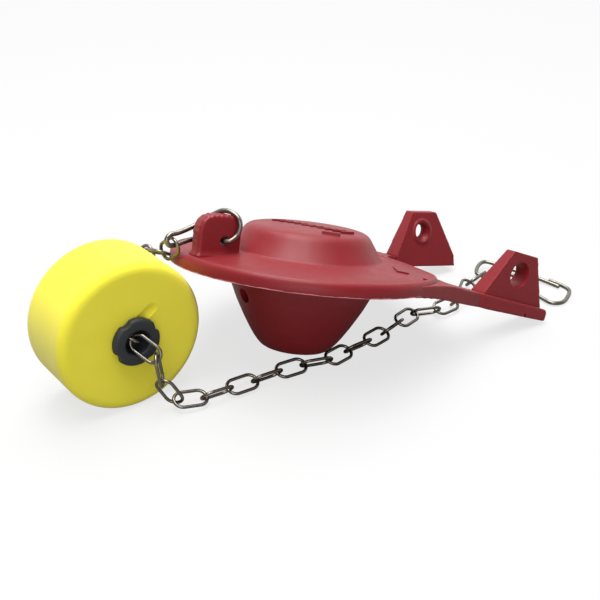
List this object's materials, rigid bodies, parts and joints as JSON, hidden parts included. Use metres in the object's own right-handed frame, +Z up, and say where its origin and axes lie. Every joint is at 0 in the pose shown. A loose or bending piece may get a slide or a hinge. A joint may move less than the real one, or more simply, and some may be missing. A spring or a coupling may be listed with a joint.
{
  "type": "toilet flapper",
  "caption": "Toilet cistern flapper of moulded rubber with hinge ears, an adjustable foam float and a lift chain with a wire clip, laid down flat.",
  "frame": {"origin": "middle of the laid part's footprint, on the surface that it lies on", "axes": "+Z up, +X from the pull tab towards the hinge ears and the clip, +Y towards the far arm"},
  "size_m": [0.1742, 0.077, 0.0473],
  "materials": {
    "red_rubber": "moulded rubber with a soft satin skin",
    "yellow_foam": "moulded closed-cell foam, matt",
    "black_plug": "moulded plastic, satin",
    "steel_wire": "drawn stainless wire"
  },
  "bodies": {
    "root": {"flapper": "red_rubber", "tab_ring": "steel_wire", "float": "yellow_foam", "float_plug": "black_plug", "chain_link_01": "steel_wire", "chain_link_02": "steel_wire", "chain_link_03": "steel_wire", "chain_link_04": "steel_wire", "chain_link_05": "steel_wire", "chain_link_06": "steel_wire", "chain_link_07": "steel_wire", "chain_link_08": "steel_wire", "chain_link_09": "steel_wire", "chain_link_10": "steel_wire", "chain_link_11": "steel_wire", "chain_link_12": "steel_wire", "chain_link_13": "steel_wire", "chain_link_14": "steel_wire", "chain_link_15": "steel_wire", "chain_link_16": "steel_wire", "chain_link_17": "steel_wire", "chain_link_18": "steel_wire", "chain_link_19": "steel_wire", "chain_link_20": "steel_wire", "chain_link_21": "steel_wire", "chain_link_22": "steel_wire", "chain_link_23": "steel_wire", "chain_link_24": "steel_wire", "chain_link_25": "steel_wire", "chain_link_26": "steel_wire", "chain_link_27": "steel_wire", "chain_link_28": "steel_wire", "lever_clip": "steel_wire"}
  },
  "joints": []
}
